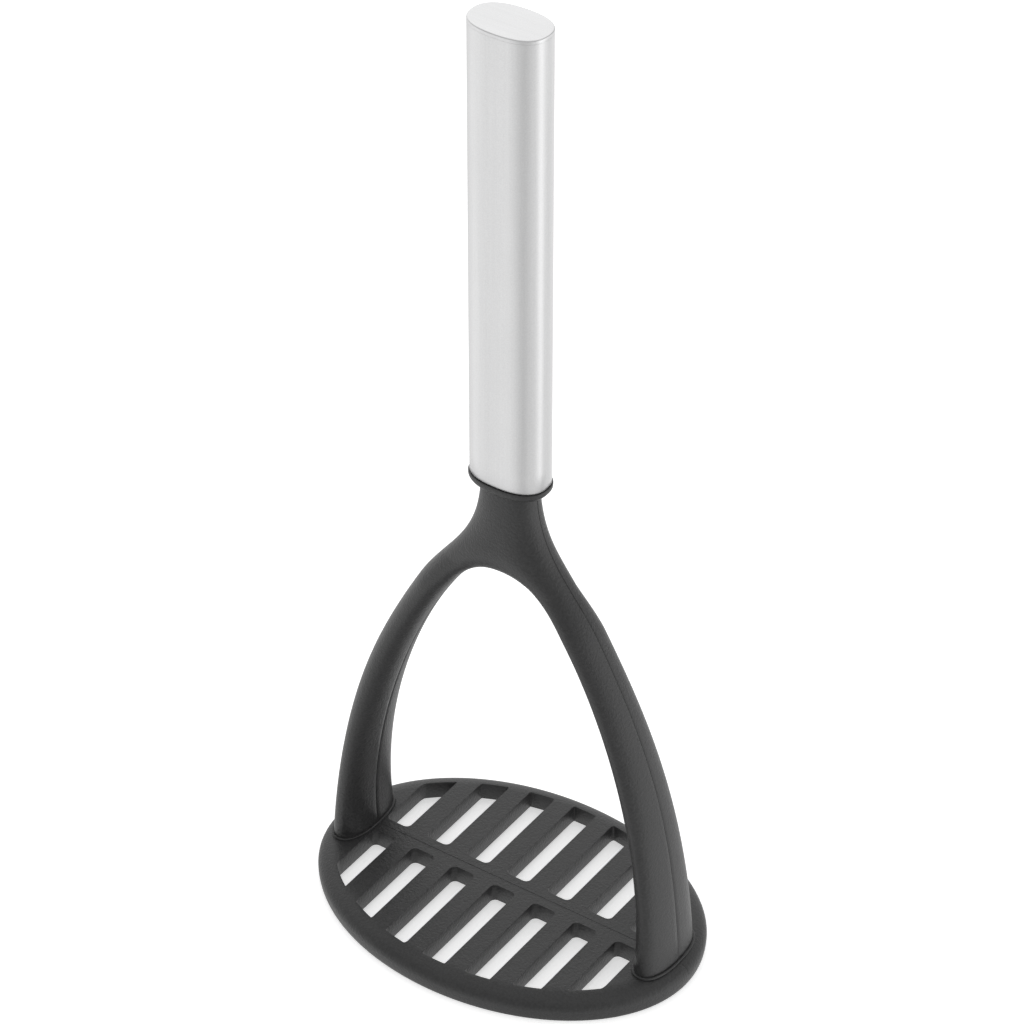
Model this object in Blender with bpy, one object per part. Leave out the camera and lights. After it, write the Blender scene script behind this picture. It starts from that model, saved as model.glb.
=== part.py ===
"""Potato masher: slotted oval plate, forked carrier, oval steel handle.

Metres, +Z up. X runs along the plate's long axis, Y along its short axis.
The origin is on the floor under the middle of the plate.
"""

import math

import bmesh
import bpy
import numpy as np

MM = 0.001

# Clearances
FIT_GAP = 0.3 * MM
TUBE_SEAT_GAP = 0.35 * MM

# Plate
PLATE_LENGTH = 108.0 * MM
PLATE_WIDTH = 77.5 * MM
RIM_ROUND_WIDTH = 5.5 * MM
RIM_UNDER_WIDTH = 1.1 * MM
RIM_FOOT_WIDTH = 0.9 * MM
GRID_BOTTOM = 2.0 * MM
GRID_THICKNESS = 5.0 * MM
SLOT_PITCH = 12.5 * MM
SLOT_WIDTH = 7.0 * MM
SLOT_CORNER = 0.9 * MM
SPINE_WIDTH = 5.25 * MM
SLOT_END_MARGIN = 4.6 * MM

# Carrier: feet
FOOT_MARGIN = 3.1 * MM
FOOT_WIDTH = 9.2 * MM
FOOT_HALF_DEPTH = 10.9 * MM
FOOT_LIP_WIDTH = 0.35 * MM
FOOT_LIP_HEIGHT = 0.35 * MM
TENON_SHARE = 0.62
TENON_DEPTH = 3.6 * MM
TENON_SECTION_POWER = 3.0

# Carrier: arms. A lean or run is sideways and a rise or drop is up or down,
# from the end of a curve to the handle that bends it.
ARM_HEIGHT = 89.65 * MM
ARM_HALF_DEPTH = 7.4 * MM
ARM_TAPER_POWER = 1.66
ARM_SECTION_POWER = 2.3
SHOULDER_X = 25.65 * MM
SHOULDER_WIDTH = 10.45 * MM
OUTER_FOOT_LEAN = 2.5 * MM
OUTER_FOOT_SHARE = 0.46
OUTER_SHOULDER_RUN = 15.85 * MM
OUTER_SHOULDER_DROP = 28.2 * MM
INNER_FOOT_LEAN = 2.55 * MM
INNER_FOOT_RISE = 24.3 * MM
INNER_SHOULDER_RUN = 18.3 * MM
INNER_SHOULDER_DROP = 25.8 * MM

# Carrier: arch between the arms
ARCH_SIDE_RISE = 2.0 * MM
ARCH_TOP_RISE = 10.9 * MM
ARCH_BEND_RUN = 3.95 * MM
ARCH_BEND_RISE = 5.57 * MM
ARCH_CROWN_SHARE = 0.445

# Carrier: neck, collar and spigot
NECK_LENGTH = 36.1 * MM
NECK_INSET_X = 2.9 * MM
NECK_INSET_Y = 1.5 * MM
FLARE_RUN = 6.3 * MM
FLARE_RISE = 11.2 * MM
FLARE_NECK_RUN = 0.7 * MM
FLARE_NECK_SHARE = 0.495
NECK_BLEND_SHARE = 0.7
COLLAR_BOWL_HEIGHT = 2.05 * MM
COLLAR_LIP_HEIGHT = 0.8 * MM
COLLAR_LIP_WALL = 0.5 * MM
COLLAR_PROUD = 0.3 * MM
COLLAR_STEP = 0.25 * MM
SPIGOT_LENGTH = 28.0 * MM
SPIGOT_FLOOR = 4.75 * MM
POCKET_SECTION_POWER = 9.0

# Handle tube and cap
OVERALL_HEIGHT = 260.0 * MM
TUBE_HALF_WIDTH = 10.5 * MM
TUBE_HALF_DEPTH = 6.7 * MM
TUBE_SECTION_POWER = 2.4
TUBE_WALL = 0.8 * MM
CAP_THICKNESS = 1.0 * MM
CAP_EDGE_ROUND = 0.25 * MM
CAP_SKIRT_DEPTH = 4.0 * MM
CAP_SKIRT_WALL = 0.8 * MM

# Parts inside the handle
SEAL_THICKNESS = 0.55 * MM
TANG_WIDTH = 8.0 * MM
TANG_THICKNESS = 3.0 * MM
TANG_COVER = 20.0 * MM
CORE_CAP_ROOM = 12.7 * MM
PIN_RADIUS = 1.5 * MM
PIN_SHARES = {"core_pin_lower": 0.31, "core_pin_upper": 0.775}

# Smoothness
RIM_STEPS = 96
EDGE_STEPS = 8
CORNER_STEPS = 3
ARM_ROWS = 34
NECK_ROWS = 12
ACROSS_STEPS = 14
OVAL_STEPS = 72
TENON_STEPS = 24
PIN_STEPS = 24
CURVE_STEPS = 60
FLARE_SPLIT = 20
MERGE_DISTANCE = 0.002 * MM

# Sizes that follow from the ones above
PLATE_TOP = GRID_BOTTOM + GRID_THICKNESS
FOOT_Z = PLATE_TOP + FIT_GAP
FOOT_OUTER_X = PLATE_LENGTH / 2 - FOOT_MARGIN
FOOT_INNER_X = FOOT_OUTER_X - FOOT_WIDTH
ARM_START_Z = FOOT_Z + FOOT_LIP_HEIGHT
SHOULDER_Z = ARM_START_Z + ARM_HEIGHT
ARCH_SIDE_X = SHOULDER_X - SHOULDER_WIDTH
ARCH_SIDE_Z = SHOULDER_Z + ARCH_SIDE_RISE
ARCH_TOP_Z = SHOULDER_Z + ARCH_TOP_RISE
NECK_TOP_Z = SHOULDER_Z + NECK_LENGTH
NECK_HALF_WIDTH = TUBE_HALF_WIDTH - NECK_INSET_X
NECK_HALF_DEPTH = TUBE_HALF_DEPTH - NECK_INSET_Y
COLLAR_SEAT_Z = NECK_TOP_Z + COLLAR_BOWL_HEIGHT
COLLAR_LIP_TOP_Z = COLLAR_SEAT_Z + COLLAR_LIP_HEIGHT
SPIGOT_TOP_Z = COLLAR_SEAT_Z + SPIGOT_LENGTH
TUBE_BOTTOM_Z = COLLAR_LIP_TOP_Z + TUBE_SEAT_GAP
TUBE_TOP_Z = OVERALL_HEIGHT - CAP_THICKNESS - FIT_GAP
POCKET_BOTTOM_Z = COLLAR_SEAT_Z + SPIGOT_FLOOR
CORE_BOTTOM_Z = SPIGOT_TOP_Z + FIT_GAP
CORE_TOP_Z = TUBE_TOP_Z - CORE_CAP_ROOM
TANG_BOTTOM_Z = POCKET_BOTTOM_Z + FIT_GAP
TANG_TOP_Z = CORE_TOP_Z - TANG_COVER


def clear_scene():
    for old in list(bpy.data.objects):
        bpy.data.objects.remove(old, do_unlink=True)


def make_material(name, colour, roughness, metallic):
    material = bpy.data.materials.new(name)
    material.use_nodes = True
    shader = material.node_tree.nodes["Principled BSDF"]
    shader.inputs["Base Color"].default_value = (*colour, 1.0)
    shader.inputs["Roughness"].default_value = roughness
    shader.inputs["Metallic"].default_value = metallic
    return material


def plate_nylon():
    return make_material("plate_nylon", (0.045, 0.045, 0.047), 0.55, 0.0)


def yoke_nylon():
    return make_material("yoke_nylon", (0.045, 0.045, 0.047), 0.5, 0.0)


def seal_rubber():
    return make_material("seal_rubber", (0.02, 0.02, 0.02), 0.7, 0.0)


def tube_steel():
    return make_material("tube_steel", (0.62, 0.62, 0.63), 0.32, 1.0)


def cap_steel():
    return make_material("cap_steel", (0.65, 0.65, 0.66), 0.28, 1.0)


def tang_steel():
    return make_material("tang_steel", (0.5, 0.5, 0.51), 0.45, 1.0)


def core_plastic():
    return make_material("core_plastic", (0.08, 0.08, 0.085), 0.6, 0.0)


def pin_steel(pin_name):
    return make_material(pin_name + "_steel", (0.55, 0.55, 0.56), 0.35, 1.0)


def finish(work, name, material, smooth=True):
    """Turns a bmesh into a named object with its own material."""
    bmesh.ops.recalc_face_normals(work, faces=work.faces)
    mesh = bpy.data.meshes.new(name)
    work.to_mesh(mesh)
    work.free()
    for face in mesh.polygons:
        face.use_smooth = smooth
    mesh.materials.append(material)
    piece = bpy.data.objects.new(name, mesh)
    bpy.context.scene.collection.objects.link(piece)
    return piece


def cut(piece, work, name):
    """Cuts the shape in a bmesh out of a piece."""
    bmesh.ops.recalc_face_normals(work, faces=work.faces)
    mesh = bpy.data.meshes.new(name)
    work.to_mesh(mesh)
    work.free()
    cutter = bpy.data.objects.new(name, mesh)
    bpy.context.scene.collection.objects.link(cutter)
    cutter.hide_render = True
    cutter.display_type = "WIRE"
    boolean = piece.modifiers.new(name, "BOOLEAN")
    boolean.operation = "DIFFERENCE"
    boolean.solver = "EXACT"
    boolean.object = cutter


def oval(half_x, half_y, power, steps=OVAL_STEPS):
    """Points round an oval whose sides are flatter for a higher power."""
    points = []
    for step in range(steps):
        turn = 2 * math.pi * (step + 0.5) / steps
        c, s = math.cos(turn), math.sin(turn)
        x = half_x * math.copysign(abs(c) ** (2 / power), c)
        y = half_y * math.copysign(abs(s) ** (2 / power), s)
        points.append((x, y))
    return points


def loft(work, rings):
    """Skins a list of rings of equal length and closes both ends."""
    made = []
    for ring in rings:
        made.append([work.verts.new(point) for point in ring])
    for low, high in zip(made, made[1:]):
        skin(work, low, high)
    work.faces.new(made[0])
    work.faces.new(made[-1])
    return made


def skin(work, low, high):
    count = len(low)
    for i in range(count):
        j = (i + 1) % count
        work.faces.new((low[i], low[j], high[j], high[i]))


def at_height(points, z):
    return [(x, y, z) for x, y in points]


def bezier(points, steps):
    """Points on a cubic curve, both ends included."""
    t = np.linspace(0.0, 1.0, steps)[:, None]
    a, b, c, d = (np.array(point, float) for point in points)
    return (1 - t) ** 3 * a + 3 * (1 - t) ** 2 * t * b + 3 * (1 - t) * t**2 * c + t**3 * d


def spread(curve, count):
    """The curve resampled at even distances along it."""
    lengths = np.hypot(*np.diff(curve, axis=0).T)
    run = np.concatenate([[0.0], np.cumsum(lengths)])
    wanted = run[-1] * np.linspace(0.0, 1.0, count)
    return np.column_stack([np.interp(wanted, run, curve[:, k]) for k in (0, 1)])


# ---------------------------------------------------------------- plate


def rim_inset(share):
    """How far in, and how high, the rim's section is: share -1 is its foot, 1 its top."""
    centre = PLATE_TOP / 2
    width = RIM_ROUND_WIDTH if share > 0 else RIM_UNDER_WIDTH
    rise = math.sin(share * math.pi / 2)
    inset = width * (1 - math.cos(share * math.pi / 2))
    return inset, centre + rise * centre


def plate_outline(inset):
    """The plate's edge, moved inwards along its own normal."""
    half_x, half_y = PLATE_LENGTH / 2, PLATE_WIDTH / 2
    points = []
    for step in range(RIM_STEPS):
        turn = 2 * math.pi * (step + 0.5) / RIM_STEPS
        c, s = math.cos(turn), math.sin(turn)
        nx, ny = c / half_x, s / half_y
        size = math.hypot(nx, ny)
        points.append((half_x * c - inset * nx / size, half_y * s - inset * ny / size))
    return points


def slot_reach(x):
    """How far from the spine's middle a slot can run at this x."""
    reach_x = PLATE_LENGTH / 2 - SLOT_END_MARGIN
    reach_y = PLATE_WIDTH / 2 - SLOT_END_MARGIN
    return reach_y * math.sqrt(max(0.0, 1 - (x / reach_x) ** 2))


def rounded_corners(corners, radius):
    """A polygon with each corner replaced by a short curve."""
    points = []
    count = len(corners)
    for i, corner in enumerate(corners):
        here = np.array(corner)
        before = np.array(corners[i - 1]) - here
        after = np.array(corners[(i + 1) % count]) - here
        start = here + before / np.linalg.norm(before) * radius
        end = here + after / np.linalg.norm(after) * radius
        for step in range(CORNER_STEPS + 1):
            t = step / CORNER_STEPS
            point = (1 - t) ** 2 * start + 2 * t * (1 - t) * here + t**2 * end
            points.append((float(point[0]), float(point[1])))
    return points


def slot_outline(centre_x, side):
    """One slot: square inner end at the spine, outer end along the rim."""
    left = centre_x - SLOT_WIDTH / 2
    right = centre_x + SLOT_WIDTH / 2
    inner = SPINE_WIDTH / 2
    corners = [
        (left, side * inner),
        (right, side * inner),
        (right, side * slot_reach(right)),
        (left, side * slot_reach(left)),
    ]
    return rounded_corners(corners, SLOT_CORNER)


def slot_centres():
    """As many slots as fit between the feet, one of them in the middle."""
    each_side = int((FOOT_INNER_X - SLOT_WIDTH / 2) / SLOT_PITCH)
    return [i * SLOT_PITCH for i in range(-each_side, each_side + 1)]


def slot_cutters():
    work = bmesh.new()
    for centre_x in slot_centres():
        for side in (-1, 1):
            outline = slot_outline(centre_x, side)
            loft(work, [at_height(outline, -PLATE_TOP), at_height(outline, 2 * PLATE_TOP)])
    return work


def tenon_pocket_cutters():
    work = bmesh.new()
    for side in (-1, 1):
        outline = [(side * x, y) for x, y in tenon_outline(FIT_GAP)]
        bottom = PLATE_TOP - TENON_DEPTH - FIT_GAP
        loft(work, [at_height(outline, bottom), at_height(outline, 2 * PLATE_TOP)])
    return work


def build_masher_plate():
    work = bmesh.new()
    rim_inside = RIM_UNDER_WIDTH + RIM_FOOT_WIDTH
    rings = [at_height(plate_outline(SLOT_END_MARGIN), GRID_BOTTOM)]
    rings.append(at_height(plate_outline(rim_inside), 0.0))
    for step in range(2 * EDGE_STEPS + 1):
        inset, z = rim_inset(step / EDGE_STEPS - 1)
        rings.append(at_height(plate_outline(inset), z))
    loft(work, rings)
    plate = finish(work, "masher_plate", plate_nylon())
    cut(plate, slot_cutters(), "slot_cutters")
    cut(plate, tenon_pocket_cutters(), "tenon_pocket_cutters")
    return plate


# -------------------------------------------------------------- carrier


def outer_curve(steps):
    """Outside edge of one arm, from the foot up to the neck."""
    shoulder = (SHOULDER_X, SHOULDER_Z)
    arm = bezier(
        [
            (FOOT_OUTER_X, ARM_START_Z),
            (FOOT_OUTER_X - OUTER_FOOT_LEAN, ARM_START_Z + OUTER_FOOT_SHARE * ARM_HEIGHT),
            (SHOULDER_X + OUTER_SHOULDER_RUN, SHOULDER_Z - OUTER_SHOULDER_DROP),
            shoulder,
        ],
        steps,
    )
    flare = bezier(
        [
            shoulder,
            (SHOULDER_X - FLARE_RUN, SHOULDER_Z + FLARE_RISE),
            (NECK_HALF_WIDTH + FLARE_NECK_RUN, SHOULDER_Z + FLARE_NECK_SHARE * NECK_LENGTH),
            (NECK_HALF_WIDTH, NECK_TOP_Z),
        ],
        steps,
    )
    return arm, flare


def inner_curve(steps):
    """Inside edge of one arm, from the foot up to the top of the arch."""
    side = (ARCH_SIDE_X, ARCH_SIDE_Z)
    arm = bezier(
        [
            (FOOT_INNER_X, ARM_START_Z),
            (FOOT_INNER_X + INNER_FOOT_LEAN, ARM_START_Z + INNER_FOOT_RISE),
            (ARCH_SIDE_X + INNER_SHOULDER_RUN, ARCH_SIDE_Z - INNER_SHOULDER_DROP),
            side,
        ],
        steps,
    )
    arch = bezier(
        [
            side,
            (ARCH_SIDE_X - ARCH_BEND_RUN, ARCH_SIDE_Z + ARCH_BEND_RISE),
            (ARCH_CROWN_SHARE * ARCH_SIDE_X, ARCH_TOP_Z),
            (0.0, ARCH_TOP_Z),
        ],
        steps,
    )
    return np.vstack([arm, arch[1:]])


def half_depth(z):
    """Half of the carrier's depth at a height."""
    share = np.clip((z - ARM_START_Z) / ARM_HEIGHT, 0.0, 1.0)
    arm = ARM_HALF_DEPTH + (FOOT_HALF_DEPTH - ARM_HALF_DEPTH) * (1 - share) ** ARM_TAPER_POWER
    rise = np.clip((z - SHOULDER_Z) / NECK_LENGTH, 0.0, 1.0)
    return arm + (NECK_HALF_DEPTH - ARM_HALF_DEPTH) * rise


def distance_to(curve, points):
    """Distance from each point to a curve given as points."""
    start, step = curve[:-1], np.diff(curve, axis=0)
    along = ((points[:, None] - start) * step).sum(-1) / (step**2).sum(-1)
    nearest = start + np.clip(along, 0, 1)[..., None] * step
    return np.sqrt(((points[:, None] - nearest) ** 2).sum(-1)).min(1)


def rounding(distance, radius):
    """Height of a rounded section, 0 at its edge and 1 from the radius on."""
    share = 1 - np.clip(distance / radius, 0.0, 1.0)
    return (1 - share**ARM_SECTION_POWER) ** (1 / ARM_SECTION_POWER)


def across_shares(steps):
    """Positions across an arm, closer together near both edges."""
    turn = -np.cos(np.pi * np.arange(steps + 1) / steps)
    return (1 + np.sign(turn) * np.abs(turn) ** (2 / ARM_SECTION_POWER)) / 2


def carrier_rows(arm_rows, neck_rows, across):
    """Front surface of the right half as rows of (x, depth, z)."""
    arm, flare = outer_curve(CURVE_STEPS)
    inner = inner_curve(CURVE_STEPS)
    outer = np.vstack([arm, flare[1:]])
    split = len(arm) + FLARE_SPLIT
    outer_low = spread(outer[:split], arm_rows + 1)
    outer_high = spread(outer[split - 1 :], neck_rows + 1)
    inner_low = spread(inner, arm_rows + 1)
    middle = np.column_stack(
        [np.zeros(neck_rows + 1), np.linspace(ARCH_TOP_Z, NECK_TOP_Z, neck_rows + 1)]
    )
    inside = np.vstack([inner_low, middle[1:]])
    outside = np.vstack([outer_low, outer_high[1:]])
    width = np.hypot(*(outside - inside).T)
    shares = across_shares(across)
    rise = np.clip((np.arange(len(width)) - arm_rows) / (neck_rows * NECK_BLEND_SHARE), 0, 1)
    rise = rise**2 * (3 - 2 * rise)
    outer_radius = width * (0.5 + 0.5 * rise)
    inner_radius = np.where(np.arange(len(width)) < arm_rows, width / 2, width[arm_rows] / 2)
    rows = []
    for i in range(len(width)):
        points = inside[i] + shares[:, None] * (outside[i] - inside[i])
        depth = half_depth(points[:, 1])
        depth = depth * rounding(distance_to(outer, points), outer_radius[i])
        depth = depth * rounding(distance_to(inner, points), inner_radius[i])
        depth[-1] = 0.0
        if i <= arm_rows:
            depth[0] = 0.0
        rows.append(np.column_stack([points[:, 0], depth, points[:, 1]]))
    return rows


def carrier_ring(half_x, half_y, power, z, across):
    """A ring with as many points as the carrier's neck has."""
    shares = across_shares(across)
    high = half_y * (1 - shares**power) ** (1 / power)
    high[-1] = 0.0
    right = np.column_stack([half_x * shares, high])
    points = [(x, y) for x, y in right]
    points += [(x, -y) for x, y in right[-2::-1]]
    points += [(-x, -y) for x, y in right[1:]]
    points += [(-x, y) for x, y in right[-2:0:-1]]
    return [(float(x), float(y), z) for x, y in points]


def tenon_outline(grow):
    """The block under the right foot that sits in the plate."""
    middle = (FOOT_OUTER_X + FOOT_INNER_X) / 2
    half_x = (FOOT_OUTER_X - FOOT_INNER_X) / 2 * TENON_SHARE + grow
    half_y = FOOT_HALF_DEPTH * TENON_SHARE + grow
    return [(middle + x, y) for x, y in oval(half_x, half_y, TENON_SECTION_POWER, TENON_STEPS)]


def foot_ring(grow, z):
    """The outline of the right foot, grown outwards."""
    middle = (FOOT_OUTER_X + FOOT_INNER_X) / 2
    half_x = (FOOT_OUTER_X - FOOT_INNER_X) / 2 + grow
    half_y = FOOT_HALF_DEPTH + grow
    shares = across_shares(ACROSS_STEPS)
    high = half_y * np.clip(1 - np.abs(2 * shares - 1) ** ARM_SECTION_POWER, 0, 1) ** (
        1 / ARM_SECTION_POWER
    )
    front = [(middle + half_x * (2 * s - 1), y) for s, y in zip(shares, high)]
    back = [(x, -y) for x, y in front[-2:0:-1]]
    return [(float(x), float(y), z) for x, y in front + back]


def add_half(work, rows, side):
    """One half of the carrier with its foot, open at the neck and at the middle."""
    grid = {}
    last = len(rows[0]) - 1
    for i, row in enumerate(rows):
        for k, (x, depth, z) in enumerate(row):
            x = 0.0 if k == 0 and i >= ARM_ROWS else x
            front = work.verts.new((side * x, -depth, z))
            back = front if depth == 0.0 else work.verts.new((side * x, depth, z))
            grid[i, k] = (front, back)
    for i in range(len(rows) - 1):
        for k in range(last):
            for face_of in (0, 1):
                corners = [grid[i, k], grid[i, k + 1], grid[i + 1, k + 1], grid[i + 1, k]]
                add_face(work, [corner[face_of] for corner in corners])
    edge = [grid[0, k][1] for k in range(last + 1)]
    edge += [grid[0, k][0] for k in range(last - 1, 0, -1)]
    for z in (ARM_START_Z, FOOT_Z):
        ring = [work.verts.new((side * x, y, z)) for x, y, z in foot_ring(FOOT_LIP_WIDTH, z)]
        skin(work, edge, ring)
        edge = ring
    middle = (FOOT_OUTER_X + FOOT_INNER_X) / 2
    for z in (FOOT_Z, PLATE_TOP - TENON_DEPTH):
        ring = []
        for x, y, _ in foot_ring(0.0, z):
            x = middle + (x - middle) * TENON_SHARE
            ring.append(work.verts.new((side * x, y * TENON_SHARE, z)))
        skin(work, edge, ring)
        edge = ring
    work.faces.new(edge)


def add_face(work, corners):
    """A face from corners, some of which may be the same."""
    kept = [corner for i, corner in enumerate(corners) if corner is not corners[i - 1]]
    if len(kept) > 2:
        work.faces.new(kept)


def collar_levels():
    """(half width, half depth, power, height) from the neck up to the spigot's pocket."""
    lip_x = TUBE_HALF_WIDTH + COLLAR_PROUD
    lip_y = TUBE_HALF_DEPTH + COLLAR_PROUD
    power = TUBE_SECTION_POWER
    levels = []
    bowl_low = NECK_TOP_Z + COLLAR_STEP
    bowl_x = NECK_HALF_WIDTH + COLLAR_STEP
    bowl_y = NECK_HALF_DEPTH + COLLAR_STEP
    levels.append((bowl_x, bowl_y, power, bowl_low))
    for step in range(1, EDGE_STEPS + 1):
        turn = step / EDGE_STEPS * math.pi / 2
        share = math.sin(turn)
        x = bowl_x + (lip_x - bowl_x) * share
        y = bowl_y + (lip_y - bowl_y) * share
        z = bowl_low + (COLLAR_SEAT_Z - bowl_low) * (1 - math.cos(turn))
        levels.append((x, y, power, z))
    levels.append((lip_x, lip_y, power, COLLAR_LIP_TOP_Z))
    inner_x, inner_y = lip_x - COLLAR_LIP_WALL, lip_y - COLLAR_LIP_WALL
    levels.append((inner_x, inner_y, power, COLLAR_LIP_TOP_Z))
    levels.append((inner_x, inner_y, power, COLLAR_SEAT_Z))
    spigot_x, spigot_y = inside_tube(FIT_GAP)
    levels.append((spigot_x, spigot_y, power, COLLAR_SEAT_Z))
    levels.append((spigot_x, spigot_y, power, SPIGOT_TOP_Z))
    pocket_x = TANG_WIDTH / 2 + FIT_GAP
    pocket_y = TANG_THICKNESS / 2 + FIT_GAP
    levels.append((pocket_x, pocket_y, POCKET_SECTION_POWER, SPIGOT_TOP_Z))
    levels.append((pocket_x, pocket_y, POCKET_SECTION_POWER, POCKET_BOTTOM_Z))
    return levels


def inside_tube(gap):
    """Half width and half depth of what fits inside the tube."""
    return TUBE_HALF_WIDTH - TUBE_WALL - gap, TUBE_HALF_DEPTH - TUBE_WALL - gap


def build_yoke():
    rows = carrier_rows(ARM_ROWS, NECK_ROWS, ACROSS_STEPS)
    work = bmesh.new()
    for side in (1, -1):
        add_half(work, rows, side)
    neck = carrier_ring(NECK_HALF_WIDTH, NECK_HALF_DEPTH, ARM_SECTION_POWER, NECK_TOP_Z, ACROSS_STEPS)
    edge = [work.verts.new(point) for point in neck]
    for half_x, half_y, power, z in collar_levels():
        ring = [work.verts.new(p) for p in carrier_ring(half_x, half_y, power, z, ACROSS_STEPS)]
        skin(work, edge, ring)
        edge = ring
    work.faces.new(edge)
    bmesh.ops.remove_doubles(work, verts=work.verts, dist=MERGE_DISTANCE)
    return finish(work, "yoke", yoke_nylon())


# --------------------------------------------------------------- handle


def build_handle_tube():
    work = bmesh.new()
    outside = oval(TUBE_HALF_WIDTH, TUBE_HALF_DEPTH, TUBE_SECTION_POWER)
    inside = oval(*inside_tube(0.0), TUBE_SECTION_POWER)
    rings = [at_height(outside, TUBE_BOTTOM_Z), at_height(outside, TUBE_TOP_Z)]
    rings += [at_height(inside, TUBE_TOP_Z), at_height(inside, TUBE_BOTTOM_Z)]
    made = [[work.verts.new(point) for point in ring] for ring in rings]
    for i, ring in enumerate(made):
        skin(work, ring, made[(i + 1) % len(made)])
    return finish(work, "handle_tube", tube_steel())


def build_end_cap():
    work = bmesh.new()
    power = TUBE_SECTION_POWER
    skirt_x, skirt_y = inside_tube(FIT_GAP)
    low = TUBE_TOP_Z + FIT_GAP
    skirt_low = TUBE_TOP_Z - CAP_SKIRT_DEPTH
    levels = [
        (skirt_x - CAP_SKIRT_WALL, skirt_y - CAP_SKIRT_WALL, low),
        (skirt_x - CAP_SKIRT_WALL, skirt_y - CAP_SKIRT_WALL, skirt_low),
        (skirt_x, skirt_y, skirt_low),
        (skirt_x, skirt_y, low),
        (TUBE_HALF_WIDTH, TUBE_HALF_DEPTH, low),
    ]
    for step in range(CORNER_STEPS + 1):
        turn = step / CORNER_STEPS * math.pi / 2
        inset = CAP_EDGE_ROUND * (1 - math.cos(turn))
        z = OVERALL_HEIGHT - CAP_EDGE_ROUND * (1 - math.sin(turn))
        levels.append((TUBE_HALF_WIDTH - inset, TUBE_HALF_DEPTH - inset, z))
    loft(work, [at_height(oval(x, y, power), z) for x, y, z in levels])
    return finish(work, "end_cap", cap_steel(), False)


def build_seal_ring():
    work = bmesh.new()
    out_x = TUBE_HALF_WIDTH + COLLAR_PROUD - COLLAR_LIP_WALL - FIT_GAP
    out_y = TUBE_HALF_DEPTH + COLLAR_PROUD - COLLAR_LIP_WALL - FIT_GAP
    spigot_x, spigot_y = inside_tube(0.0)
    low = COLLAR_SEAT_Z + FIT_GAP
    outside = oval(out_x, out_y, TUBE_SECTION_POWER)
    inside = oval(spigot_x, spigot_y, TUBE_SECTION_POWER)
    rings = [at_height(outside, low), at_height(outside, low + SEAL_THICKNESS)]
    rings += [at_height(inside, low + SEAL_THICKNESS), at_height(inside, low)]
    made = [[work.verts.new(point) for point in ring] for ring in rings]
    for i, ring in enumerate(made):
        skin(work, ring, made[(i + 1) % len(made)])
    return finish(work, "seal_ring", seal_rubber())


def box_rings(half_x, half_y, low, high):
    corners = [(-half_x, -half_y), (half_x, -half_y), (half_x, half_y), (-half_x, half_y)]
    return [at_height(corners, low), at_height(corners, high)]


def pin_rod(work, z, radius, half_length):
    """A round bar along Y."""
    rings = []
    for y in (-half_length, half_length):
        ring = []
        for step in range(PIN_STEPS):
            turn = 2 * math.pi * step / PIN_STEPS
            ring.append((radius * math.cos(turn), y, z + radius * math.sin(turn)))
        rings.append(ring)
    loft(work, rings)


def pin_height(name):
    """Height of a pin, between the core's lower end and the tang's upper end."""
    return CORE_BOTTOM_Z + PIN_SHARES[name] * (TANG_TOP_Z - CORE_BOTTOM_Z)


def pin_hole_cutters():
    work = bmesh.new()
    for z in map(pin_height, PIN_SHARES):
        pin_rod(work, z, PIN_RADIUS + FIT_GAP, 2 * TUBE_HALF_DEPTH)
    return work


def build_tang_bar():
    work = bmesh.new()
    loft(work, box_rings(TANG_WIDTH / 2, TANG_THICKNESS / 2, TANG_BOTTOM_Z, TANG_TOP_Z))
    bar = finish(work, "tang_bar", tang_steel(), False)
    cut(bar, pin_hole_cutters(), "tang_hole_cutters")
    return bar


def build_handle_core():
    work = bmesh.new()
    body = oval(*inside_tube(FIT_GAP), TUBE_SECTION_POWER)
    loft(work, [at_height(body, CORE_BOTTOM_Z), at_height(body, CORE_TOP_Z)])
    core = finish(work, "handle_core", core_plastic())
    slot = bmesh.new()
    half_x = TANG_WIDTH / 2 + FIT_GAP
    half_y = TANG_THICKNESS / 2 + FIT_GAP
    loft(slot, box_rings(half_x, half_y, TANG_BOTTOM_Z, TANG_TOP_Z + FIT_GAP))
    cut(core, slot, "core_slot_cutter")
    cut(core, pin_hole_cutters(), "core_hole_cutters")
    return core


def build_core_pins():
    pins = []
    _, half_length = inside_tube(FIT_GAP)
    for name in PIN_SHARES:
        work = bmesh.new()
        pin_rod(work, pin_height(name), PIN_RADIUS, half_length)
        pins.append(finish(work, name, pin_steel(name)))
    return pins


def main():
    clear_scene()
    build_masher_plate()
    build_yoke()
    build_seal_ring()
    build_tang_bar()
    build_handle_core()
    build_core_pins()
    build_handle_tube()
    build_end_cap()


main()
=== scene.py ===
"""Potato masher: slotted nylon plate, forked nylon carrier and satin steel handle, ready to render."""

import math

import bmesh
import bpy
import numpy as np
from mathutils import Matrix, Vector


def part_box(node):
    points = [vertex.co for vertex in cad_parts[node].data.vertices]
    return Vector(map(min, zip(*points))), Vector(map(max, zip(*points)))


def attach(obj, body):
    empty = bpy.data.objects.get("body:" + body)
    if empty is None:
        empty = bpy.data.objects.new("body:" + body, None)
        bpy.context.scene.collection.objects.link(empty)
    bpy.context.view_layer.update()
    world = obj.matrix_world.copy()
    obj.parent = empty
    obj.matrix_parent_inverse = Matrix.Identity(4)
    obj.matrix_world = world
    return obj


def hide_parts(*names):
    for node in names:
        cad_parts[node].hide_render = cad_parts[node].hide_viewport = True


bl_info = {
    "name": "Potato Masher Maker",
    "version": (1, 0, 0),
    "blender": (4, 5, 0),
    "location": "3D View > Sidebar > Masher",
    "description": "Makes the plate, carrier, handle and studio of a potato masher",
    "category": "Add Mesh",
}

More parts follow.
